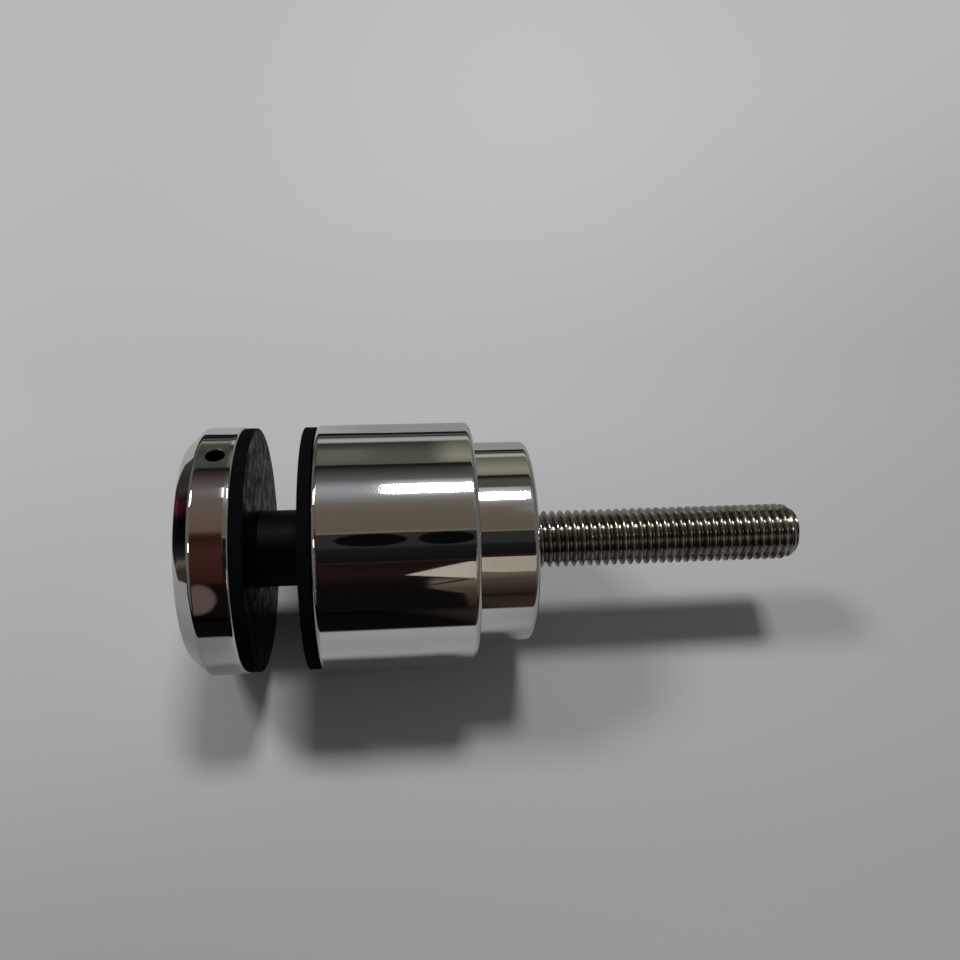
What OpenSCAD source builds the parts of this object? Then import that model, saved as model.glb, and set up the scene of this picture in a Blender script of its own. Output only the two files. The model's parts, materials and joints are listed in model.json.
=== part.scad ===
// Adjustable glass panel standoff: a cap and a barrel clamp a glass panel between two rubber
// gaskets, and the barrel screws along a base that an M12 stud holds to the wall.
// The axis of everything turned is X. The origin is the centre of the base's wall face,
// with the stud along +X into the wall and the glass along -X.

/* [Diameter] */
// Outer diameter of the barrel and the cap, which line up
barrel_d = 50; // [48:0.5:60]
// How far the gaskets' edges lie inside it
gasket_inset = 0.3; // [0:0.1:2]

/* [Cap] */
// Width of the cap's straight rim
cap_rim_w = 7; // [6:0.1:9]
// Width along the axis of the bevel round the cap's front
cap_bevel_w = 3.4; // [2.5:0.1:5]
// How far that bevel drops towards the axis
cap_bevel_drop = 3; // [2:0.1:5]
// Rounding of the bevel's edge at the front face
cap_front_edge_r = 0.6; // [0.3:0.1:1.5]
// Rounding of the crease between bevel and rim
cap_crease_r = 1.2; // [0.6:0.1:2]
// Rounding of the rim's edge at the gasket
cap_back_edge_r = 0.4; // [0.2:0.1:0.6]
// Diameter of the pin spanner's hole in the rim
spanner_hole_d = 3.5; // [2.5:0.1:4.5]
// Depth of that hole
spanner_hole_depth = 7.5; // [5:0.5:10]
// Angle of that hole from the top, turned backwards
spanner_hole_angle = 15.7; // [0:0.1:90]

/* [Clamp screw] */
// Thread diameter of the clamp screw
clamp_d = 10; // [8:0.5:10]
// Thread pitch of the clamp screw
clamp_pitch = 1.5; // [1.25:0.05:1.5]
// Depth of the clamp screw in the cap
clamp_in_cap = 7; // [5:0.1:8]
// Length of the clamp screw past the barrel's front face
clamp_in_barrel = 12; // [9:0.5:13]

/* [Gaskets and sleeve] */
// Thickness of each gasket
gasket_t = 2.3; // [1.5:0.1:3.5]
// Rounding of each gasket's outer edges
gasket_edge_r = 0.2; // [0.1:0.05:0.5]
// Gap between the gaskets, which is the glass thickness
glass_gap = 9.5; // [8:0.5:12]
// Outer diameter of the sleeve through the glass
sleeve_d = 15.6; // [14:0.1:20]
// Length of the sleeve's end that sits in the back gasket
sleeve_tail = 1.3; // [0.8:0.1:1.4]

/* [Barrel] */
// Length of the barrel
barrel_l = 31; // [31:0.5:45]
// Rounding of the barrel's two outer edges
barrel_edge_r = 1.1; // [0.5:0.1:1.5]
// Thickness of the barrel's front wall
front_wall = 7; // [6:0.1:7]

/* [Base] */
// Outer diameter of the base's collar
collar_d = 41.5; // [38:0.1:43]
// Length of the collar outside the barrel
collar_out = 11.6; // [8:0.1:14]
// Length of the collar inside the barrel
collar_in = 4; // [3.5:0.1:4.5]
// Rounding of the collar's edge at the wall
collar_edge_r = 1.2; // [0.5:0.1:2]
// Thread diameter of the base's neck
neck_d = 30; // [26:0.5:32]
// Thread pitch of the base's neck
neck_pitch = 1.5; // [1:0.25:2]

/* [Adjustment] */
// Travel of the barrel towards the wall
travel_in = 6; // [4:0.5:6]

/* [Wall stud] */
// Thread diameter of the wall stud
stud_d = 12; // [11.5:0.1:12.5]
// Thread pitch of the wall stud
stud_pitch = 1.75; // [1.5:0.05:2]
// Length of the stud outside the base
stud_out = 58.8; // [40:0.1:100]
// Length of the stud screwed into the base
stud_in = 20; // [16:0.5:21]
// Length of the stud's rounded end
stud_tip_l = 3.4; // [2:0.1:5]
// How far the rounded end drops towards the axis
stud_tip_drop = 2.3; // [1.5:0.1:3]

/* [Hidden] */
$fn = 96;

// Clearances
thread_gap = 0.05;      // radial, between a screw thread and its hole
collar_gap = 0.25;      // radial, between the collar and the barrel
sleeve_gap = 0.2;       // radial, between the sleeve and what it passes through or over
end_gap = 0.2;          // along the axis, where travel ends
cut = 1;                // how far a cutting shape runs past the face that it opens

// Proportions of an ISO metric thread, as shares of its pitch
crest_share = 1 / 8;
root_share = 1 / 4;
depth_share = 0.6134;
pitch_line_share = 0.3248;  // from the thread's outside to its pitch line

cap_d = barrel_d;
gasket_d = barrel_d - 2 * gasket_inset;

// Places along the axis, from the wall towards the glass
barrel_back_x = -collar_out;
barrel_front_x = barrel_back_x - barrel_l;
back_gasket_x = barrel_front_x - gasket_t;
front_gasket_x = back_gasket_x - glass_gap - gasket_t;
cap_crease_x = front_gasket_x - cap_rim_w;
cap_front_x = cap_crease_x - cap_bevel_w;
cap_l = cap_rim_w + cap_bevel_w;

// Inside of the barrel, as depths from its back face
counterbore_depth = collar_in + travel_in + end_gap;
cavity_depth = barrel_l - front_wall;
neck_l = cavity_depth - collar_in - travel_in - end_gap;
base_l = collar_out + collar_in + neck_l;

clamp_l = clamp_in_cap + 2 * gasket_t + glass_gap + clamp_in_barrel;
sleeve_l = gasket_t + glass_gap + sleeve_tail;
stud_l = stud_in + stud_out;

countersink = 0.8;          // width of the countersink at each tapped hole's mouth
spanner_countersink = 0.25; // width of the countersink at the spanner hole's mouth
screw_end = 1;              // chamfer on the clamp screw's and neck's ends

function pitch_line_r(d, pitch) = d / 2 - pitch_line_share * pitch;

// Radius of a rod of length l at z, where its far end runs down over end_l by end_drop in a quarter ellipse
function rod_r(d, l, z, end_l, end_drop) =
    let (past = max(0, end_l - (l - z)) / end_l)
    d / 2 - end_drop * (1 - sqrt(max(0, 1 - past * past)));

// One ridge of a thread per pitch, as the points of its outline from z = start to z = l
function ridges(d, pitch, start, l, end_l, end_drop) =
    let (
        deep = depth_share * pitch,
        flank = pitch * (1 - crest_share - root_share) / 2,
        steps = [0, root_share * pitch, root_share * pitch + flank,
                 root_share * pitch + flank + crest_share * pitch],
        turns = floor((l - start) / pitch)
    )
    [
        for (i = [0 : turns - 1])
            for (k = [0 : 3])
                let (
                    z = start + i * pitch + steps[k],
                    groove = k < 2 ? d / 2 - deep : d / 2
                )
                [min(groove, rod_r(d, l, z, end_l, end_drop)), z]
    ];

// Turns an outline of [radius, distance along the axis] into a solid along +X
module turned() {
    rotate([0, 90, 0])
        rotate_extrude()
            children();
}

// Cuts the outline's corner at v to an arc; the edges leave v along the unit vectors a and b
module corner_cut(v, a, b, r) {
    half = acos(a * b) / 2;
    reach = r / tan(half);
    middle = (a + b) / norm(a + b);
    centre = v + middle * r / sin(half);
    difference() {
        polygon([v - middle * r, v + a * reach, centre, v + b * reach]);
        translate(centre)
            circle(r);
    }
}

module cap() {
    r = cap_d / 2;
    front_r = r - cap_bevel_drop;
    bevel = [cap_bevel_drop, cap_bevel_w] / norm([cap_bevel_drop, cap_bevel_w]);
    hole_r = spanner_hole_d / 2;
    color("gainsboro")
        difference() {
            translate([cap_front_x, 0, 0])
                turned()
                    difference() {
                        polygon([[0, 0], [front_r, 0], [r, cap_bevel_w], [r, cap_l], [0, cap_l]]);
                        corner_cut([front_r, 0], [-1, 0], bevel, cap_front_edge_r);
                        corner_cut([r, cap_bevel_w], -bevel, [0, 1], cap_crease_r);
                        corner_cut([r, cap_l], [0, -1], [-1, 0], cap_back_edge_r);
                    }
            // blind hole that holds the clamp screw
            translate([front_gasket_x - clamp_in_cap, 0, 0])
                tapped_hole(clamp_d, clamp_pitch, clamp_in_cap, false, true);
            // pin spanner's hole, at the middle of the rim
            translate([front_gasket_x - cap_rim_w / 2, 0, 0])
                rotate([-spanner_hole_angle, 0, 0])
                    translate([0, 0, r - spanner_hole_depth]) {
                        cylinder(r = hole_r, h = spanner_hole_depth + cut);
                        translate([0, 0, spanner_hole_depth - spanner_countersink])
                            cylinder(r1 = hole_r, r2 = hole_r + spanner_countersink + cut,
                                     h = spanner_countersink + cut);
                    }
        }
}

// Cutting shape of a tapped hole at its pitch line, along +X from 0 to l, countersunk where asked
module tapped_hole(d, pitch, l, sunk_start, sunk_end) {
    r = pitch_line_r(d, pitch) + thread_gap;
    wide = r + countersink;
    turned()
        union() {
            polygon([[0, 0], [r, 0], [r, l + cut], [0, l + cut]]);
            if (sunk_start)
                polygon([[0, -cut], [wide + cut, -cut], [wide, 0], [r, countersink], [0, countersink]]);
            if (sunk_end)
                polygon([[0, l - countersink], [r, l - countersink], [wide, l], [wide + cut, l + cut],
                         [0, l + cut]]);
        }
}

module clamp_screw() {
    plain_r = pitch_line_r(clamp_d, clamp_pitch);
    plain_l = clamp_in_cap - countersink;
    color("silver")
        translate([front_gasket_x - clamp_in_cap, 0, 0])
            turned()
                polygon(concat(
                    [[0, 0], [plain_r - screw_end, 0], [plain_r, screw_end], [plain_r, plain_l]],
                    ridges(clamp_d, clamp_pitch, plain_l, clamp_l, screw_end, screw_end),
                    [[plain_r - screw_end, clamp_l], [0, clamp_l]]
                ));
}

// Rubber ring with its hole over the sleeve, its front face at x
module gasket(x) {
    r = gasket_d / 2;
    color("#1c1c1e")
        translate([x, 0, 0])
            turned()
                difference() {
                    square([r, gasket_t]);
                    square([sleeve_d / 2 + sleeve_gap, gasket_t]);
                    corner_cut([r, 0], [0, 1], [-1, 0], gasket_edge_r);
                    corner_cut([r, gasket_t], [0, -1], [-1, 0], gasket_edge_r);
                }
}

module front_gasket() {
    gasket(front_gasket_x);
}

module back_gasket() {
    gasket(back_gasket_x);
}

module glass_sleeve() {
    color("#141416")
        translate([front_gasket_x, 0, 0])
            turned()
                difference() {
                    square([sleeve_d / 2, sleeve_l]);
                    square([clamp_d / 2 + sleeve_gap, sleeve_l]);
                }
}

module barrel() {
    r = barrel_d / 2;
    collar_hole_r = collar_d / 2 + collar_gap;
    neck_hole_r = neck_d / 2 + thread_gap;
    counterbore_z = barrel_l - counterbore_depth;
    color("gainsboro")
        difference() {
            translate([barrel_front_x, 0, 0])
                turned()
                    difference() {
                        square([r, barrel_l]);
                        translate([0, front_wall])
                            square([neck_hole_r, barrel_l]);
                        translate([0, counterbore_z])
                            square([collar_hole_r, barrel_l]);
                        corner_cut([r, 0], [0, 1], [-1, 0], barrel_edge_r);
                        corner_cut([r, barrel_l], [0, -1], [-1, 0], barrel_edge_r);
                    }
            // hole that the clamp screw runs in
            translate([barrel_front_x - cut, 0, 0])
                turned()
                    square([clamp_d / 2 + thread_gap, front_wall + 2 * cut]);
        }
}

module base() {
    collar_r = collar_d / 2;
    collar_l = collar_out + collar_in;
    root_r = neck_d / 2 - depth_share * neck_pitch;
    color("gainsboro")
        difference() {
            rotate([0, 180, 0])
                turned()
                    difference() {
                        polygon(concat(
                            [[0, 0], [collar_r, 0], [collar_r, collar_l], [root_r, collar_l]],
                            ridges(neck_d, neck_pitch, collar_l, base_l, screw_end, screw_end),
                            [[neck_d / 2 - screw_end, base_l], [0, base_l]]
                        ));
                        corner_cut([collar_r, 0], [0, 1], [-1, 0], collar_edge_r);
                    }
            translate([-base_l, 0, 0])
                tapped_hole(stud_d, stud_pitch, base_l, true, true);
        }
}

module wall_stud() {
    plain_r = pitch_line_r(stud_d, stud_pitch);
    plain_l = stud_in - countersink;
    color("darkgray")
        translate([-stud_in, 0, 0])
            turned()
                polygon(concat(
                    [[0, 0], [plain_r - screw_end, 0], [plain_r, screw_end], [plain_r, plain_l]],
                    ridges(stud_d, stud_pitch, plain_l, stud_l, stud_tip_l, stud_tip_drop),
                    [[stud_d / 2 - stud_tip_drop, stud_l], [0, stud_l]]
                ));
}

cap();
clamp_screw();
front_gasket();
glass_sleeve();
back_gasket();
barrel();
base();
wall_stud();
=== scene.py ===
"""Looks of the glass panel standoff: mirror-polished steel, rolled threads and black rubber on a pale table.

Everything is in metres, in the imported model's frame: X is the standoff's axis, with the wall at x = 0,
and Z is up. The camera stands at the front, towards -Y, and looks down.
"""
import json
import math

import bmesh
import bpy
from mathutils import Matrix, Vector


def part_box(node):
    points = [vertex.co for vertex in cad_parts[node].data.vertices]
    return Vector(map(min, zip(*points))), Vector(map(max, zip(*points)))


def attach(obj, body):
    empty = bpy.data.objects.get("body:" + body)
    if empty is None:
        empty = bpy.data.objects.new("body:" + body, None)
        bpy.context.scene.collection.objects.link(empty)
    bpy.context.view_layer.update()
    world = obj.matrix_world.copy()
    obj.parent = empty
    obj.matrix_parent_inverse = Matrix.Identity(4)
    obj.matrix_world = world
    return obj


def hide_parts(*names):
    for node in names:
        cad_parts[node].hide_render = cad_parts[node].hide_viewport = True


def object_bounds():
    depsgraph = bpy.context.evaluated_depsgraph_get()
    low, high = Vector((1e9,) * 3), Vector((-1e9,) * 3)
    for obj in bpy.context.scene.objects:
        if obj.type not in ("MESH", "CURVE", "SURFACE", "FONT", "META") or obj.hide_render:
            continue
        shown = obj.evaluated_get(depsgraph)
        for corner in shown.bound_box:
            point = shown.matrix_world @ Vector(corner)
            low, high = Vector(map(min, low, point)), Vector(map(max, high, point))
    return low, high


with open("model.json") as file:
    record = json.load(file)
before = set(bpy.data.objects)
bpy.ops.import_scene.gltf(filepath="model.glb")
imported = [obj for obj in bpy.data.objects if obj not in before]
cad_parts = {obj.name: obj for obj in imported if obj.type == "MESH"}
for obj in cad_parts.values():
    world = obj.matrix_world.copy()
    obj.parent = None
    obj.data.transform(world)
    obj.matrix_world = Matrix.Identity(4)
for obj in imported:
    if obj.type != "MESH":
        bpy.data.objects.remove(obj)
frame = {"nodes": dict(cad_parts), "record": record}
cad_low, cad_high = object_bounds()

MM = 0.001
DEG = math.radians(1)


def grey(value):
    return (value, value, value, 1)


# Camera
CAMERA_ELEVATION = 60.6 * DEG       # of the camera above the horizon, seen from the standoff's axis
CAMERA_DISTANCE = 181.2 * MM        # from the axis
CAMERA_X = -27.3 * MM               # where the camera stands along the axis
CAMERA_YAW = -5.74 * DEG            # turns from looking straight at the axis
CAMERA_PITCH = 4.06 * DEG
CAMERA_ROLL = -1.97 * DEG
CAMERA_LENS = 32.35                 # focal length and sensor width, both in millimetres
CAMERA_SENSOR = 36
CAMERA_CLIP = (0.01, 20)            # the nearest and the farthest distance it sees

# Table
TABLE_HALF = 3.0                    # half the side of the floor sheet
# Painted light falloff: the table's colour grows darker from behind and to the left towards the front and the
# right
TABLE_FAR = (0.5, 0.5, 0.505, 1)    # its colour behind the standoff, to the left
TABLE_NEAR = (0.36, 0.36, 0.365, 1)     # and before it, to the right
TABLE_FADE_AXIS = Vector((0.45, -1, 0)).normalized()
TABLE_FADE = (-0.16, 0.08)          # where along that axis the colour starts and stops changing
# Its tone, painted light falloff, is a first value, and what is then added to it as x or y passes from one
# place to another: lighter to the right, darker at the front and at the far back
TABLE_PAINTED_LIGHT = (0.895, [("x", -0.13, 0.06, 0.17), ("y", -0.03, -0.07, -0.06), ("y", 0.045, 0.08, -0.045)])
BACKGROUND = grey(0.49)
TABLE_FADES_OUT = (0.18, 0.48)      # distances between which the camera sees it pass into the background
TABLE_ROUGHNESS = 0.9

# What the steel sees of the table, which ends a little way off, as a table top does in a room: a painted
# reflection, shown to glossy rays only, with painted shade that varies by place
TABLE_LEFT = -0.22
TABLE_FRONT = -0.1
TABLE_RIGHT = 0.5
TABLE_BACK = 0.27
TABLE_CORNER = (-0.03, 1.3)         # to the left of this x the back edge slants nearer, by this slope
TABLE_EDGE = 0.012                  # how softly it ends
# Painted shade in that reflection: tones the table takes by place, before the standoff, nearer the front and
# behind it
SEEN_BEFORE = (0.6, [("x", -0.08, -0.045, 0.48), ("x", -0.09, -0.14, 0.2), ("x", -0.01, 0.02, -0.25)])
SEEN_NEARER = (1.0, [("y", -0.05, -0.1, 0.2)])
SEEN_BEHIND = (0.9, [("x", -0.06, -0.03, -0.25)])
BEFORE_TO_BEHIND = (-0.03, 0.02)    # where in y the tones before it pass into the one behind it
AROUND_TABLE = [                    # what lies around it, by the bearing from -X towards +Y, in degrees
    (-93, (0.045, 0.034, 0.024, 1)),
    (-87, (0.004, 0.004, 0.004, 1)),
    (-10, (0.004, 0.004, 0.004, 1)),
    (-8, (0.05, 0.042, 0.03, 1)),
    (-5, (0.03, 0.027, 0.02, 1)),
    (-3, (0.14, 0.12, 0.105, 1)),
    (-1, (0.02, 0.018, 0.018, 1)),
    (6, (0.006, 0.004, 0.006, 1)),
    (16, (0.006, 0.003, 0.004, 1)),
    (18, (0.07, 0.012, 0.02, 1)),
    (22, (0.08, 0.016, 0.025, 1)),
    (24, (0.02, 0.014, 0.012, 1)),
    (27, (0.04, 0.037, 0.033, 1)),
    (30, (0.025, 0.023, 0.02, 1)),
    (33, (0.05, 0.047, 0.04, 1)),
    (50, (0.012, 0.012, 0.011, 1)),
]
BEYOND_TABLE = (0.45, 0.8)          # where in y that passes into a grey wall
GREY_WALL = (0.2, 0.2, 0.19, 1)

# Light. Directions are angles in degrees, seen from the middle of the barrel: up runs from the front
# horizon over the top to the back one, and across runs from the standoff's mid-plane towards +X.
MIDDLE = Vector((-0.027, 0, 0))
LAMPS = {                           # up, across, distance, (length, width), radiance
    "ceiling_lamp": (111.4, 4.6, 1.1, (0.205, 0.17), 58),
    "side_lamp": (111, -33, 0.7, (0.16, 0.13), 32),
}
FILL = (0.2, 0.189, 0.189, 1)       # radiance of the room that matt surfaces see

# Finishes. A pair of colours, or of roughnesses, is the two ends that noise goes between
STEEL_COLOURS = ((0.71, 0.7, 0.68, 1), (0.68, 0.67, 0.65, 1))
STEEL_ROUGHNESS = (0.015, 0.045)
ROLL_WIDTH = 1.3 * MM               # buffing rolls the steel's edges off over this width, with this radius
ROLL_RADIUS = 8 * MM
# Inside the drilled hole: a dark colour that is painted shade, and a rougher unpolished wall
HOLE_SHADE_COLOUR = (0.03, 0.028, 0.026, 1)
HOLE_ROUGHER = 0.45                 # what the wall of a drilled hole adds to the roughness
HOLE_FADE = 0.3 * MM                # how wide its look fades out round its mouth
# Painted shade: the thread is darker in its roots than on its crests
THREAD_ROOT = (0.26, 0.245, 0.21, 1)
THREAD_CREST = (0.56, 0.54, 0.5, 1)
THREAD_ROOT_TO_CREST = (0.9 * MM, 0.05 * MM) # depths under the crest between which the one passes into the other
THREAD_STAIN = (0.62, 0.56, 0.5, 1)
THREAD_ROUGHNESS = (0.08, 0.22)
RUBBER_COLOURS = ((0.0015, 0.0015, 0.0017, 1), (0.004, 0.004, 0.0043, 1))
RUBBER_ROUGHNESS = (0.24, 0.5)
RUBBER_SPECULAR = 0.02
RIM_ROUGHNESS = 0.9
RIM_DEPTH = (0.3 * MM, 0.1 * MM)    # depths inside the rim between which the face passes into the rim
SLEEVE_COLOURS = ((0.001, 0.001, 0.0012, 1), (0.0025, 0.0025, 0.0028, 1))
SLEEVE_ROUGHNESS = 0.5
SLEEVE_SPECULAR = 0.06


def camera_rotation():
    """The direction towards the camera, and the rotation from its axes (right, up, back) to the frame's."""
    towards = Vector((0, -math.cos(CAMERA_ELEVATION), math.sin(CAMERA_ELEVATION)))
    up = Vector((0, math.sin(CAMERA_ELEVATION), math.cos(CAMERA_ELEVATION)))
    square_on = Matrix((Vector((1, 0, 0)), up, towards)).transposed()
    turn = (Matrix.Rotation(CAMERA_YAW, 3, "Y") @ Matrix.Rotation(CAMERA_PITCH, 3, "X")
            @ Matrix.Rotation(CAMERA_ROLL, 3, "Z"))
    return towards, square_on @ turn


def make_camera():
    towards, rotation = camera_rotation()
    data = bpy.data.cameras.new("camera")
    data.lens = CAMERA_LENS
    data.sensor_width = CAMERA_SENSOR
    data.clip_start, data.clip_end = CAMERA_CLIP
    camera = bpy.data.objects.new("camera", data)
    bpy.context.scene.collection.objects.link(camera)
    place = Vector((CAMERA_X, 0, 0)) + towards * CAMERA_DISTANCE
    camera.matrix_world = Matrix.Translation(place) @ rotation.to_4x4()
    bpy.context.scene.camera = camera


# ---- Nodes ----

def connect(tree, node, inputs):
    """Sets some of a node's sockets: a value sets a socket, and another socket links to it."""
    for key, value in dict(inputs).items():
        if isinstance(value, bpy.types.NodeSocket):
            tree.links.new(value, node.inputs[key])
        else:
            node.inputs[key].default_value = value


def add(tree, kind, inputs=(), **settings):
    """A new node, with some of its settings and sockets set."""
    node = tree.nodes.new(kind)
    for key, value in settings.items():
        setattr(node, key, value)
    connect(tree, node, inputs)
    return node


def math_of(tree, operation, *values, clamp=False):
    inputs = dict(enumerate(values))
    return add(tree, "ShaderNodeMath", inputs, operation=operation, use_clamp=clamp).outputs[0]


def length_of(tree, vector):
    return add(tree, "ShaderNodeVectorMath", {0: vector}, operation="LENGTH").outputs["Value"]


def scaled(tree, colour, scale):
    return add(tree, "ShaderNodeVectorMath", {0: colour, "Scale": scale}, operation="SCALE").outputs[0]


def range_of(tree, value, low, high, start=0.0, stop=1.0):
    """low where the value is at start, high where it is at stop, and straight in between."""
    return add(tree, "ShaderNodeMapRange", {"Value": value, "From Min": start, "From Max": stop,
                                            "To Min": low, "To Max": high}).outputs["Result"]


def step_of(tree, value, low, high):
    """0 below low, 1 above high, smooth in between; low may be the larger one."""
    return add(tree, "ShaderNodeMapRange", {"Value": value, "From Min": low, "From Max": high},
               interpolation_type="SMOOTHSTEP").outputs["Result"]


def box_of(tree, value, low, high, soft):
    """1 between low and high, 0 outside, over soft edges."""
    rise = step_of(tree, value, low - soft, low + soft)
    fall = step_of(tree, value, high + soft, high - soft)
    return math_of(tree, "MULTIPLY", rise, fall)


def mix_of(tree, factor, a, b, blend="MIX"):
    """Colour a where the factor is 0 and b where it is 1; sockets 6, 7 and 2 are the colours' own."""
    return add(tree, "ShaderNodeMix", {0: factor, 6: a, 7: b}, data_type="RGBA", blend_type=blend).outputs[2]


def ramp_of(tree, factor, stops):
    """Colour ramp from a list of (place from 0 to 1, colour)."""
    node = add(tree, "ShaderNodeValToRGB", {"Fac": factor})
    elements = node.color_ramp.elements
    elements.remove(elements[1])
    elements[0].position = stops[0][0]
    elements[0].color = stops[0][1]
    for place, colour in stops[1:]:
        elements.new(place).color = colour
    return node.outputs["Color"]


def noise_of(tree, coordinates, scale, detail=2, stretch=(1, 1, 1)):
    """Noise from 0 to 1, with some scale lumps a metre, drawn out along an axis where stretch is small."""
    spread = add(tree, "ShaderNodeMapping", {"Vector": coordinates, "Scale": stretch}).outputs["Vector"]
    noise = add(tree, "ShaderNodeTexNoise", {"Vector": spread, "Scale": scale, "Detail": detail})
    return noise.outputs["Fac"]


def new_material(name):
    """An empty material with its shader: (material, tree, shader, object coordinates)."""
    material = bpy.data.materials.new(name)
    material.use_nodes = True
    tree = material.node_tree
    shader = tree.nodes["Principled BSDF"]
    coordinates = add(tree, "ShaderNodeTexCoord").outputs["Object"]
    return material, tree, shader, coordinates


def radius_of(tree, coordinates):
    """Distance from the standoff's axis."""
    flat = add(tree, "ShaderNodeVectorMath", {0: coordinates, 1: (0, 1, 1)}, operation="MULTIPLY").outputs[0]
    return length_of(tree, flat)


def bump(tree, shader, layers):
    """Adds bumps to the shader, from (height socket, height of the bump in metres) pairs."""
    normal = None
    for height, distance in layers:
        inputs = {"Height": height, "Distance": distance, "Strength": 1.0}
        if normal is not None:
            inputs["Normal"] = normal
        normal = add(tree, "ShaderNodeBump", inputs).outputs["Normal"]
    connect(tree, shader, {"Normal": normal})


# ---- Materials ----

def rolled_ends(tree, place, node):
    """Height that drops towards a turned piece's two ends, where buffing has rolled the edges off."""
    low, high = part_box(node)
    x = add(tree, "ShaderNodeSeparateXYZ", {"Vector": place}).outputs["X"]
    drops = []
    for end, slope in ((low.x, -1 / ROLL_WIDTH), (high.x, 1 / ROLL_WIDTH)):
        share = math_of(tree, "MULTIPLY_ADD", x, slope, 1 - slope * end, clamp=True)
        drops.append(math_of(tree, "MULTIPLY", share, share))
    return math_of(tree, "MULTIPLY", math_of(tree, "ADD", *drops), -1.0)


def drilled(tree, place, mount):
    """1 on the wall of a drilled hole, fading out across its countersink."""
    centre = Vector(mount["pos_m"])
    axis = Vector(mount["axis"])
    radius = mount["dims"]["r_mm"] * MM
    offset = add(tree, "ShaderNodeVectorMath", {0: place, 1: centre}, operation="SUBTRACT").outputs[0]
    across = add(tree, "ShaderNodeVectorMath", {0: offset, 1: axis}, operation="CROSS_PRODUCT").outputs[0]
    near = step_of(tree, length_of(tree, across), radius + HOLE_FADE, radius)
    along = add(tree, "ShaderNodeVectorMath", {0: place, 1: axis}, operation="DOT_PRODUCT").outputs["Value"]
    return math_of(tree, "MULTIPLY", near, step_of(tree, along, 0, MM))


def polished_steel(node):
    """Mirror polish with faint smudges, waves from buffing and fine turned lines."""
    material, tree, shader, place = new_material("polished_steel_" + node)
    smudges = noise_of(tree, place, scale=90, detail=4)
    tint = mix_of(tree, smudges, *STEEL_COLOURS)
    rough = range_of(tree, smudges, *STEEL_ROUGHNESS, start=0.35, stop=0.75)
    for mount in frame["record"]["mounts"]:
        if mount["name"] == "spanner_hole" and node == "cap":
            # painted shade inside the spanner hole, with its rougher unpolished wall
            hole = drilled(tree, place, mount)
            tint = mix_of(tree, hole, tint, HOLE_SHADE_COLOUR)
            rough = math_of(tree, "MULTIPLY_ADD", hole, HOLE_ROUGHER, rough)
    connect(tree, shader, {"Metallic": 1, "Base Color": tint, "Roughness": rough})
    waves = noise_of(tree, place, scale=70, detail=1)
    lines = noise_of(tree, place, scale=900, stretch=(1, 0.02, 0.02))
    bump(tree, shader, [(rolled_ends(tree, place, node), ROLL_WIDTH ** 2 / (2 * ROLL_RADIUS)),
                        (waves, 0.012 * MM), (lines, 0.0003 * MM)])
    return material


def thread_steel(node):
    """Rolled threads with painted shade, darker in the roots than on the bright crests, and stained in
    patches.
    """
    material, tree, shader, place = new_material("thread_steel_" + node)
    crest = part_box(node)[1].z
    root_side, crest_side = THREAD_ROOT_TO_CREST
    # painted shade, darker towards the thread's roots
    toward_crest = step_of(tree, radius_of(tree, place), crest - root_side, crest - crest_side)
    shade = mix_of(tree, toward_crest, THREAD_ROOT, THREAD_CREST)
    stains = step_of(tree, noise_of(tree, place, scale=260, detail=5), 0.35, 0.7)
    tint = mix_of(tree, stains, grey(1), THREAD_STAIN)
    rough = range_of(tree, noise_of(tree, place, scale=1500, detail=3), *THREAD_ROUGHNESS)
    connect(tree, shader, {"Metallic": 1, "Base Color": mix_of(tree, 1.0, shade, tint, blend="MULTIPLY"),
                           "Roughness": rough})
    bump(tree, shader, [(noise_of(tree, place, scale=2500, detail=3), 0.006 * MM)])
    return material


def rubber(node):
    """Black rubber: the moulded faces have a patchy sheen and the cut rim is matt."""
    material, tree, shader, place = new_material("rubber_" + node)
    mottle = noise_of(tree, place, scale=500, detail=4)
    patches = noise_of(tree, place, scale=330, detail=3)
    face = range_of(tree, patches, *RUBBER_ROUGHNESS, start=0.35, stop=0.65)
    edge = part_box(node)[1].z
    face_side, rim_side = RIM_DEPTH
    rim = step_of(tree, radius_of(tree, place), edge - face_side, edge - rim_side)
    connect(tree, shader, {"Base Color": mix_of(tree, mottle, *RUBBER_COLOURS),
                           "Roughness": range_of(tree, rim, face, RIM_ROUGHNESS),
                           "Specular IOR Level": RUBBER_SPECULAR})
    bump(tree, shader, [(patches, 0.03 * MM), (noise_of(tree, place, scale=3500), 0.006 * MM)])
    return material


def sleeve_plastic(node):
    """Black plastic with turned lines round it."""
    material, tree, shader, place = new_material("sleeve_plastic_" + node)
    mottle = noise_of(tree, place, scale=300, detail=3)
    connect(tree, shader, {"Base Color": mix_of(tree, mottle, *SLEEVE_COLOURS),
                           "Roughness": SLEEVE_ROUGHNESS, "Specular IOR Level": SLEEVE_SPECULAR})
    lines = noise_of(tree, place, scale=1600, stretch=(1, 0.05, 0.05))
    bump(tree, shader, [(lines, 0.006 * MM)])
    return material


# ---- Table ----

def tone_of(tree, x, y, tone):
    """A first value, changed as x or y passes from one place to another."""
    value, changes = tone
    for along, start, stop, change in changes:
        passed = step_of(tree, {"x": x, "y": y}[along], start, stop)
        value = math_of(tree, "MULTIPLY_ADD", passed, change, value)
    return value


def painted_falloff_table_colour(tree, place, x, y):
    """The table's pale colour, with painted light falloff across it."""
    along = add(tree, "ShaderNodeVectorMath", {0: place, 1: TABLE_FADE_AXIS}, operation="DOT_PRODUCT")
    fade = step_of(tree, along.outputs["Value"], *TABLE_FADE)
    return scaled(tree, mix_of(tree, fade, TABLE_FAR, TABLE_NEAR), tone_of(tree, x, y, TABLE_PAINTED_LIGHT))


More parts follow.
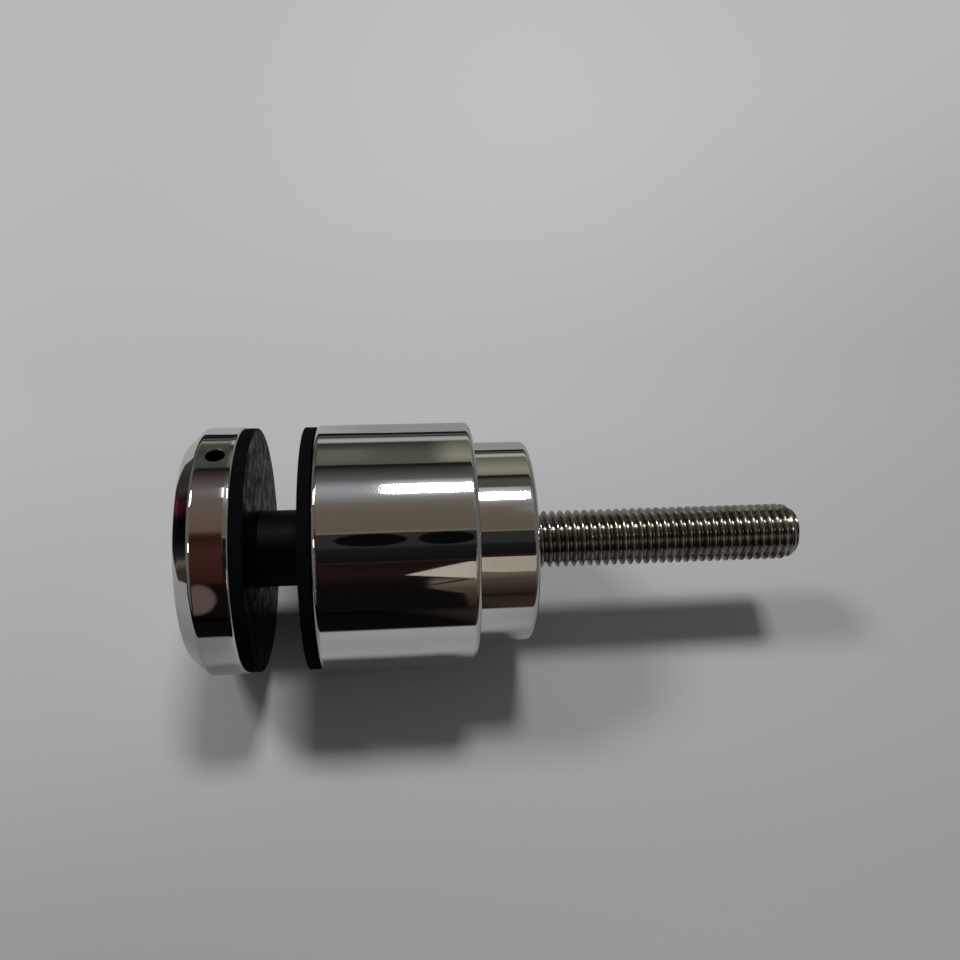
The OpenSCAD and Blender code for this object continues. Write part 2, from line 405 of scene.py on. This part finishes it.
def reflected_table(tree, x, y, colour):
    """What the steel sees, a painted reflection: the table in painted shade by place as far as its edges, and
    then what lies around it.
    """
    corner, slope = TABLE_CORNER
    past_corner = math_of(tree, "MINIMUM", math_of(tree, "SUBTRACT", x, corner), 0.0)
    backwards = math_of(tree, "MULTIPLY_ADD", past_corner, -slope, y)
    on_table = 1.0
    for value, edge, outwards in ((x, TABLE_LEFT, -1), (x, TABLE_RIGHT, 1), (y, TABLE_FRONT, -1),
                                  (backwards, TABLE_BACK, 1)):
        inside = step_of(tree, value, edge + outwards * TABLE_EDGE, edge)
        on_table = math_of(tree, "MULTIPLY", inside, on_table)
    bearing = math_of(tree, "DEGREES", math_of(tree, "ARCTAN2", y, math_of(tree, "MULTIPLY", x, -1.0)))
    stops = [(0.5 + place / 360, shade) for place, shade in AROUND_TABLE]
    around = ramp_of(tree, math_of(tree, "MULTIPLY_ADD", bearing, 1 / 360, 0.5), stops)
    around = mix_of(tree, step_of(tree, y, *BEYOND_TABLE), around, GREY_WALL)
    # painted shade of the reflected table, by place
    before = math_of(tree, "MULTIPLY", tone_of(tree, x, y, SEEN_BEFORE), tone_of(tree, x, y, SEEN_NEARER))
    behind = tone_of(tree, x, y, SEEN_BEHIND)
    side = step_of(tree, y, *BEFORE_TO_BEHIND)
    tone = math_of(tree, "MULTIPLY_ADD", side, math_of(tree, "SUBTRACT", behind, before), before)
    return mix_of(tree, on_table, around, scaled(tree, colour, tone))


def make_table():
    """The pale floor. Far from the standoff the camera sees it pass into the background."""
    corners = [(x * TABLE_HALF, y * TABLE_HALF, cad_low.z) for x, y in ((-1, -1), (1, -1), (1, 1), (-1, 1))]
    mesh = bpy.data.meshes.new("table")
    mesh.from_pydata(corners, [], [(0, 1, 2, 3)])
    table = bpy.data.objects.new("table", mesh)
    bpy.context.scene.collection.objects.link(table)

    material, tree, shader, place = new_material("table")
    x, y, _ = add(tree, "ShaderNodeSeparateXYZ", {"Vector": place}).outputs
    rays = add(tree, "ShaderNodeLightPath").outputs
    # The camera sees the table with painted light falloff; glossy rays see its painted reflection, with
    # painted shade
    colour = painted_falloff_table_colour(tree, place, x, y)
    seen = mix_of(tree, rays["Is Glossy Ray"], colour, reflected_table(tree, x, y, colour))
    connect(tree, shader, {"Base Color": seen, "Roughness": TABLE_ROUGHNESS, "Specular IOR Level": 0})
    far = step_of(tree, length_of(tree, place), *TABLE_FADES_OUT)
    plain = add(tree, "ShaderNodeEmission", {"Color": BACKGROUND}).outputs[0]
    surface = add(tree, "ShaderNodeMixShader", {0: math_of(tree, "MULTIPLY", far, rays["Is Camera Ray"]),
                                                1: shader.outputs[0], 2: plain}).outputs[0]
    connect(tree, tree.nodes["Material Output"], {"Surface": surface})
    mesh.materials.append(material)


# ---- Room ----

# What the steel sees of the room, by the angle from the front horizon over the top to the back one
ROOM = [
    (0, grey(0.004)),
    (24, (0.006, 0.004, 0.004, 1)),
    (31, (0.011, 0.007, 0.006, 1)),
    (33, (0.019, 0.008, 0.008, 1)),
    (44, (0.014, 0.007, 0.006, 1)),
    (45, grey(0.02)),
    (46, grey(0.007)),
    (57, grey(0.012)),
    (59, grey(0.028)),
    (69, grey(0.032)),
    (70.5, (0.02, 0.016, 0.012, 1)),
    (71.5, (0.2, 0.18, 0.15, 1)),
    (73, (0.14, 0.115, 0.09, 1)),
    (93, (0.155, 0.132, 0.105, 1)),
    (98, (0.17, 0.155, 0.14, 1)),
    (102, (0.23, 0.22, 0.215, 1)),
    (106, (0.3, 0.295, 0.315, 1)),
    (110, (0.37, 0.36, 0.4, 1)),
    (115, (0.37, 0.36, 0.4, 1)),
    (122, (0.14, 0.14, 0.136, 1)),
    (127, (0.09, 0.09, 0.08, 1)),
    (134, (0.038, 0.038, 0.032, 1)),
    (137.5, (0.012, 0.012, 0.01, 1)),
    (139, (0.012, 0.012, 0.01, 1)),
    (140, (0.11, 0.11, 0.09, 1)),
    (153, (0.11, 0.11, 0.09, 1)),
    (169.5, (0.042, 0.041, 0.034, 1)),
    (170.5, grey(0.06)),
    (171.5, grey(0.34)),
    (175, grey(0.5)),
    (178, grey(0.35)),
    (180, grey(0.2)),
]
# The same, for the cap, which faces another part of the room: a red-brown curtain and what is behind it
ROOM_LEFT = [
    (0, (0.004, 0.003, 0.002, 1)),
    (30, (0.006, 0.004, 0.003, 1)),
    (33, (0.035, 0.012, 0.009, 1)),
    (46, (0.046, 0.016, 0.012, 1)),
    (60, (0.054, 0.02, 0.016, 1)),
    (72, (0.035, 0.012, 0.008, 1)),
    (75, (0.06, 0.03, 0.017, 1)),
    (78, (0.135, 0.09, 0.064, 1)),
    (94, (0.15, 0.108, 0.094, 1)),
    (106, (0.14, 0.116, 0.11, 1)),
    (114, (0.18, 0.157, 0.147, 1)),
    (122, (0.113, 0.097, 0.089, 1)),
    (131, (0.052, 0.043, 0.038, 1)),
    (136, (0.025, 0.022, 0.02, 1)),
    (138, (0.012, 0.012, 0.012, 1)),
    (139.5, (0.014, 0.014, 0.013, 1)),
    (141, (0.067, 0.067, 0.058, 1)),
    (151, (0.08, 0.083, 0.066, 1)),
    (159, (0.052, 0.054, 0.04, 1)),
    (173, (0.084, 0.089, 0.063, 1)),
    (175, (0.16, 0.166, 0.135, 1)),
    (178, (0.28, 0.28, 0.24, 1)),
    (180, (0.22, 0.22, 0.2, 1)),
]
CURTAIN_STARTS = (-5.5, -9)         # where across the one passes into the other

# Parts of the room. The place of a patch is (low, high, softness) going up and the same going across,
# where 90 is the right end
WALL_PLACE = ((140.5, 170.5, 0.5), (3.2, 90, 1))
WALL = [                            # a paler wall behind, to the right, by the angle up
    (141, (0.23, 0.23, 0.185, 1)),
    (148, (0.31, 0.31, 0.245, 1)),
    (155, (0.26, 0.262, 0.205, 1)),
    (162, (0.2, 0.203, 0.152, 1)),
    (170, (0.14, 0.142, 0.104, 1)),
]
PATCHES = [                         # place up and place across, colour
    ((144, 160, 4), (-6, -1.5, 1.5), (0.148, 0.146, 0.12, 1)),  # a paler stretch of wall, to the left
    ((127, 134, 4), (5, 90, 1), (0.095, 0.09, 0.075, 1)),       # the ceiling's edge, to the right
    ((92, 101, 3), (8.5, 90, 1), (0.25, 0.24, 0.225, 1)),       # the ceiling over the base
    ((106, 119.5, 3), (-0.8, 8.8, 1), (0.62, 0.61, 0.6, 1)),    # glare round the ceiling lamp
]
GLINT = ((108, 118, 0.6), (-10.95, -6.4, 0.04))                 # a bright patch seen only in reflections, a painted highlight at the back end of the cap's rim; it lights nothing
GLINT_COLOUR = grey(1.5)
DISCS = [                           # centre across and up, half size across and up, softness, colour
    ((-1.6, 65), (2.4, 5.6), 0.15, grey(0.003)),                # two round shades
    ((3.4, 65), (1.9, 5.6), 0.15, grey(0.003)),
    ((-12.5, 16.5), (1.05, 14), 0.3, (0.11, 0.082, 0.072, 1)),  # something pale under the curtain
]
# In front, to the right, a pale sheet that comes to a point
SHEET_POINT = (0.6, 32.6)           # across and up
SHEET_TOP = (2.45, 42.8)            # slope of its top edge, and the angle up where that levels out
SHEET_BOTTOM = (-1.1, 25.4)         # the same for its bottom edge
SHEET_EDGE = 0.3                    # how softly it ends
SHEET_TURNS = (4, 7)                # where across its colour changes
SHEET_COLOURS = ((0.53, 0.47, 0.4, 1), (0.42, 0.375, 0.3, 1))
# and under it brown with a dark fold, over black. The black's edge falls, going across, by the larger of
# two lines
BROWN = [                           # by the angle up
    (0, (0.024, 0.018, 0.012, 1)),
    (6, (0.04, 0.03, 0.022, 1)),
    (18, (0.08, 0.06, 0.044, 1)),
    (24, (0.15, 0.12, 0.095, 1)),
]
BROWN_SPAN = 30.0
BROWN_TOP = (31, 25)                # where it fades out, going up
BROWN_LEFT = (1.9, 2.6)             # where it starts, going across
BLACK_LINES = ((2.67, 0.0), (60.0, -260.0))     # their slopes and offsets
BLACK_EDGE = (24.9, 25.5)           # where up it starts and stops, at the mid-plane
FOLD_SLOPE = 1.74                   # how fast the fold rises, going across
FOLD_PLACE = ((17.8, 19.2, 0.5), (2.4, 4.7, 0.2))
FOLD_COLOUR = (0.008, 0.006, 0.006, 1)

ENDS = (18, 50)                     # how far across the room passes into its two ends
ENDS_COLOUR = grey(0.14)
LEFT_LAMP = ((-42, 64), (9, 5), 0.1)            # a lamp at the left end, placed as in DISCS, seen only in reflections: a painted highlight on the cap's crease that lights nothing
LEFT_LAMP_COLOUR = grey(5)


def bands_of(tree, angle, bands, span=180.0):
    """Bands of colour over an angle from 0 to span, from a list of (angle, colour)."""
    stops = [(place / span, colour) for place, colour in bands]
    return ramp_of(tree, math_of(tree, "DIVIDE", angle, span), stops)


def patch_of(tree, up, across, up_range, across_range):
    """1 inside a patch of the room, 0 outside it."""
    return math_of(tree, "MULTIPLY", box_of(tree, up, *up_range), box_of(tree, across, *across_range))


def disc_of(tree, up, across, centre, size, soft):
    """1 inside an ellipse of angles, 0 outside it."""
    squares = []
    for value, middle, half in zip((across, up), centre, size):
        offset = math_of(tree, "DIVIDE", math_of(tree, "SUBTRACT", value, middle), half)
        squares.append(math_of(tree, "MULTIPLY", offset, offset))
    return step_of(tree, math_of(tree, "ADD", *squares), 1 + soft, 1 - soft)


def with_brown(tree, up, across, room):
    """The room with the brown, its fold and the edge of the black under it."""
    falls = [math_of(tree, "MULTIPLY_ADD", across, slope, offset) for slope, offset in BLACK_LINES]
    fallen = math_of(tree, "ADD", math_of(tree, "MAXIMUM", *falls), up)
    over_black = step_of(tree, fallen, *BLACK_EDGE)
    corner = math_of(tree, "MULTIPLY", step_of(tree, up, *BROWN_TOP), step_of(tree, across, *BROWN_LEFT))
    brown = math_of(tree, "MULTIPLY", over_black, corner)
    room = mix_of(tree, brown, room, bands_of(tree, up, BROWN, BROWN_SPAN))
    slanted = math_of(tree, "MULTIPLY_ADD", across, -FOLD_SLOPE, up)
    return mix_of(tree, patch_of(tree, slanted, across, *FOLD_PLACE), room, FOLD_COLOUR)


def with_sheet(tree, up, across, room):
    """The room with the pale sheet in front."""
    point_across, point_up = SHEET_POINT
    reach = math_of(tree, "SUBTRACT", across, point_across)
    edges = []
    for (slope, level), limit in ((SHEET_TOP, "MINIMUM"), (SHEET_BOTTOM, "MAXIMUM")):
        edges.append(math_of(tree, limit, math_of(tree, "MULTIPLY_ADD", reach, slope, point_up), level))
    top, bottom = edges
    under_top = step_of(tree, math_of(tree, "SUBTRACT", top, up), -SHEET_EDGE, SHEET_EDGE)
    over_bottom = step_of(tree, math_of(tree, "SUBTRACT", up, bottom), -SHEET_EDGE, SHEET_EDGE)
    sheet = mix_of(tree, step_of(tree, across, *SHEET_TURNS), *SHEET_COLOURS)
    return mix_of(tree, math_of(tree, "MULTIPLY", under_top, over_bottom), room, sheet)


def make_world():
    """Camera rays see the plain background, matt surfaces an even room, and the steel a room in bands."""
    world = bpy.data.worlds.new("room")
    bpy.context.scene.world = world
    world.use_nodes = True
    tree = world.node_tree
    tree.nodes.clear()
    towards = add(tree, "ShaderNodeTexCoord").outputs["Generated"]
    x, y, z = add(tree, "ShaderNodeSeparateXYZ", {"Vector": towards}).outputs
    turned = math_of(tree, "ARCTAN2", z, math_of(tree, "MULTIPLY", y, -1.0))
    up = math_of(tree, "DEGREES", turned)                           # from the front horizon over the top
    across = math_of(tree, "DEGREES", math_of(tree, "ARCSINE", x))  # from the standoff's mid-plane to +X

    room = bands_of(tree, up, ROOM)
    room = mix_of(tree, patch_of(tree, up, across, *WALL_PLACE), room, bands_of(tree, up, WALL))
    for up_range, across_range, colour in PATCHES:
        room = mix_of(tree, patch_of(tree, up, across, up_range, across_range), room, colour)
    room = mix_of(tree, step_of(tree, across, *CURTAIN_STARTS), room, bands_of(tree, up, ROOM_LEFT))
    room = mix_of(tree, patch_of(tree, up, across, *GLINT), room, GLINT_COLOUR)
    for centre, size, soft, colour in DISCS:
        room = mix_of(tree, disc_of(tree, up, across, centre, size, soft), room, colour)
    room = with_brown(tree, up, across, room)
    room = with_sheet(tree, up, across, room)
    room = mix_of(tree, step_of(tree, math_of(tree, "ABSOLUTE", across), *ENDS), room, ENDS_COLOUR)
    room = mix_of(tree, disc_of(tree, up, across, *LEFT_LAMP), room, LEFT_LAMP_COLOUR)

    rays = add(tree, "ShaderNodeLightPath").outputs
    seen = mix_of(tree, rays["Is Glossy Ray"], FILL, room)
    seen = mix_of(tree, rays["Is Camera Ray"], seen, BACKGROUND)
    background = add(tree, "ShaderNodeBackground", {"Color": seen})
    add(tree, "ShaderNodeOutputWorld", {"Surface": background.outputs[0]})


def make_lamps():
    """Soft rectangles of light behind the standoff, which face its middle."""
    for name, (up, across, distance, size, radiance) in LAMPS.items():
        back = Vector((math.sin(across * DEG), -math.cos(across * DEG) * math.cos(up * DEG),
                       math.cos(across * DEG) * math.sin(up * DEG)))
        data = bpy.data.lights.new(name, "AREA")
        data.shape = "RECTANGLE"
        data.size, data.size_y = size
        data.energy = radiance * math.pi * data.size * data.size_y
        lamp = bpy.data.objects.new(name, data)
        bpy.context.scene.collection.objects.link(lamp)
        lamp.location = MIDDLE + back * distance
        side = (Vector((1, 0, 0)) - back * back.x).normalized()
        lamp.rotation_euler = Matrix((side, back.cross(side), back)).transposed().to_euler()


# ---- Threaded rod ----

# A thread's proportions, as shares of its pitch
CREST_SHARE = 0.09                  # width of the crest
ROOT_SHARE = 1 / 4                  # width of the root
DEPTH_SHARE = 0.62                  # from the crest down to the root
PITCH_LINE_SHARE = 0.3248           # from the crest down to the pitch line
CREST_ROUND = 0.05                  # radii of the crest's and the root's corners
ROOT_ROUND = 0.12

CORNER_STEPS = 3
THREAD_SIDES = 96
THREAD_START = 0.75                 # where round the rod the first crest starts, in turns
TURNS_BEFORE = 2                    # spare turns at its two ends, which are cut off
TURNS_AFTER = 1
MERGE_WITHIN = 0.0005 * MM          # points closer than this become one
RUN_OUT = 1.4 * MM                  # how far the thread runs out inside its hole
RUN_OUT_STEP = 0.2 * MM             # the last of that, where it widens to the hidden end
UNDER_ROOT = 0.1 * MM               # how far under the root the run-out may go
HIDDEN_CHAMFER = 1 * MM             # on the end that is hidden in its hole
MOST_CORNERS = 6                    # a face with more is one of the two flat ends

STUD_PITCH = 1.75 * MM
STUD_THREAD_START = -0.8 * MM       # in the base's countersink
STUD_TIP_LENGTH = 3.4 * MM          # length and drop of the rounding at its end
STUD_TIP_DROP = 2.3 * MM


def rounded(points, radii, steps):
    """The outline through the points, with each inner corner cut to an arc of the radius given for it."""
    made = [points[0]]
    for before, corner, after, radius in zip(points, points[1:], points[2:], radii):
        a = (before - corner).normalized()
        b = (after - corner).normalized()
        half = a.angle(b) / 2
        centre = corner + (a + b).normalized() * (radius / math.sin(half))
        start = corner + a * (radius / math.tan(half)) - centre
        sweep = start.angle_signed(corner + b * (radius / math.tan(half)) - centre)
        made += [centre + Matrix.Rotation(-sweep * k / steps, 2) @ start for k in range(steps + 1)]
    made.append(points[-1])
    return made


def thread_profile(pitch, crest):
    """One turn's outline from root to root, as (distance along the axis, radius) points, without the last."""
    half_root = ROOT_SHARE * pitch / 2
    flank = pitch * (1 - CREST_SHARE - ROOT_SHARE) / 2
    root = crest - DEPTH_SHARE * pitch
    corners = [0, half_root, half_root + flank, pitch - half_root - flank, pitch - half_root, pitch]
    heights = [root, root, crest, crest, root, root]
    points = [Vector(p) for p in zip(corners, heights)]
    radii = [r * pitch for r in (ROOT_ROUND, CREST_ROUND, CREST_ROUND, ROOT_ROUND)]
    return rounded(points, radii, CORNER_STEPS)[:-1]


def cut_off(made, x, outwards):
    """Cuts the mesh at x, drops what lies on the side of outwards, and returns the cut's edges."""
    geometry = made.verts[:] + made.edges[:] + made.faces[:]
    cut = bmesh.ops.bisect_plane(made, geom=geometry, plane_co=(x, 0, 0), plane_no=(outwards, 0, 0),
                                 clear_outer=True)
    return [e for e in cut["geom_cut"] if isinstance(e, bmesh.types.BMEdge)]


def close_with(made, edges, rings):
    """Carries the round edge loop on through (x, radius) rings and closes the last with a flat face.

    The rings are made one face at a time, because bmesh's extrusion orders its faces differently each run.
    """
    for x, radius in rings:
        sides = [(e.link_loops[0].vert, e.link_loops[0].link_loop_next.vert) for e in edges]
        grown = {}
        for v in dict.fromkeys(v for side in sides for v in side):
            flat = Vector((0, v.co.y, v.co.z)).normalized() * radius
            grown[v] = made.verts.new((x, flat.y, flat.z))
        for a, b in sides:
            made.faces.new((b, a, grown[a], grown[b]))
        edges = [made.edges.get((grown[a], grown[b])) for a, b in sides]
    bmesh.ops.edgeloop_fill(made, edges=edges)


def wound(profile, first, pitch, turns, limit):
    """A mesh of the outline wound round the axis from first on, with no point's radius over limit(x)."""
    made = bmesh.new()
    columns = []
    for side in range(THREAD_SIDES + 1):
        share = side / THREAD_SIDES
        angle = (share + THREAD_START) * 2 * math.pi
        column = []
        for i in range(turns):
            for along, radius in profile:
                x = first + along + pitch * (i + share)
                r = min(radius, limit(x))
                column.append(made.verts.new((x, r * math.cos(angle), r * math.sin(angle))))
        columns.append(column)
    for a, b in zip(columns, columns[1:]):
        for k in range(len(a) - 1):
            made.faces.new((a[k], b[k], b[k + 1], a[k + 1]))
    bmesh.ops.remove_doubles(made, verts=made.verts, dist=MERGE_WITHIN)
    return made


def threaded_rod(name, node, pitch, thread_start, tip_length, tip_drop):
    """A rod with a right-hand thread from thread_start to its +X end, in the place of a CAD node."""
    low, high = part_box(node)
    crest = high.z
    hidden_r = crest - PITCH_LINE_SHARE * pitch

    def limit(x):
        """Largest radius at x: the tip is rounded over, and the other end runs out in its hole."""
        past = min(1, max(0, tip_length - (high.x - x)) / tip_length)
        tip = crest - tip_drop * (1 - math.sqrt(1 - past * past))
        return min(tip, max(crest - DEPTH_SHARE * pitch - UNDER_ROOT, hidden_r + x - thread_start))

    turns = math.ceil((high.x - thread_start) / pitch) + TURNS_BEFORE + TURNS_AFTER
    first = thread_start - TURNS_BEFORE * pitch
    made = wound(thread_profile(pitch, crest), first, pitch, turns, limit)
    bmesh.ops.edgeloop_fill(made, edges=cut_off(made, high.x, 1))
    run_out = thread_start - RUN_OUT
    inner = cut_off(made, run_out + RUN_OUT_STEP, -1)
    close_with(made, inner, [(run_out, hidden_r), (low.x + HIDDEN_CHAMFER, hidden_r),
                             (low.x, hidden_r - HIDDEN_CHAMFER)])
    bmesh.ops.recalc_face_normals(made, faces=made.faces)
    for face in made.faces:
        face.smooth = len(face.verts) <= MOST_CORNERS
    mesh = bpy.data.meshes.new(name)
    made.to_mesh(mesh)
    made.free()
    rod = bpy.data.objects.new(name, mesh)
    bpy.context.scene.collection.objects.link(rod)
    return rod


# ---- Put together ----

make_camera()
make_table()
make_world()
make_lamps()

FINISHES = {"polished_steel": polished_steel, "thread_steel": thread_steel, "rubber": rubber,
            "sleeve_plastic": sleeve_plastic}
slot_of = {part["node"]: part["material_slot"] for part in frame["record"]["subparts"]}
body_of = {node: body for body, nodes in frame["record"]["behaviour"]["bodies"].items() for node in nodes}
materials = {node: FINISHES[slot](node) for node, slot in slot_of.items()}
for node, piece in frame["nodes"].items():
    for material_slot in piece.material_slots:
        material_slot.material = materials[node]

stud = threaded_rod("wall_stud_thread", "wall_stud", STUD_PITCH, STUD_THREAD_START,
                    STUD_TIP_LENGTH, STUD_TIP_DROP)
stud.data.materials.append(materials["wall_stud"])
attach(stud, body_of["wall_stud"])
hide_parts("wall_stud")

bpy.context.scene.view_settings.view_transform = "Standard"
